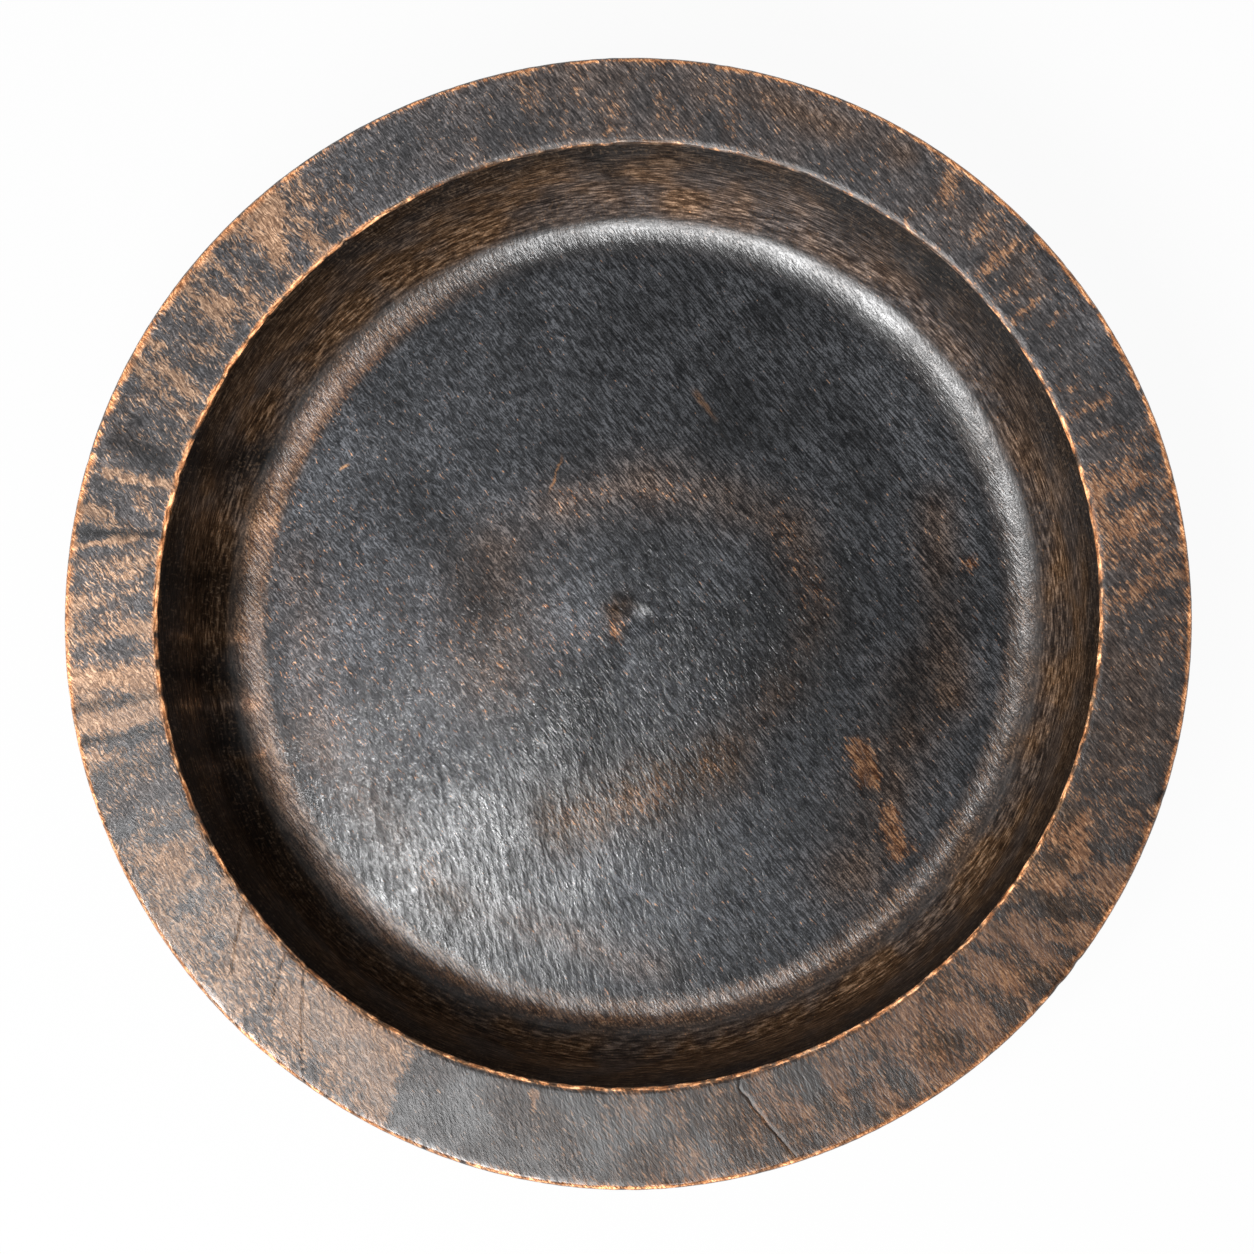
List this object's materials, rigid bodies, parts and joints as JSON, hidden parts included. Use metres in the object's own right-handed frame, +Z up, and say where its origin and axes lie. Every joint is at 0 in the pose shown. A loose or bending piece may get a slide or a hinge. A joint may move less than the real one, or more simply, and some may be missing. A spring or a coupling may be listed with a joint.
{
  "type": "dough bowl",
  "caption": "Round turned wooden dough bowl with a wide flat rim, sloping wall, coved flat floor and a recessed foot ring, for mixing, proving or serving.",
  "frame": {"origin": "centre of the rim's outline, on the table plane under the foot ring", "axes": "+Z up, along the axis of the rim; +Y towards the top edge of the picture, where the hollow lies nearest to the rim's edge"},
  "size_m": [0.4, 0.4, 0.072],
  "materials": {
    "dark_wood": "charcoal stain and wax, satin, worn through to orange-brown wood on the edges, rim and floor"
  },
  "bodies": {
    "root": {"bowl": "dark_wood"}
  },
  "joints": []
}
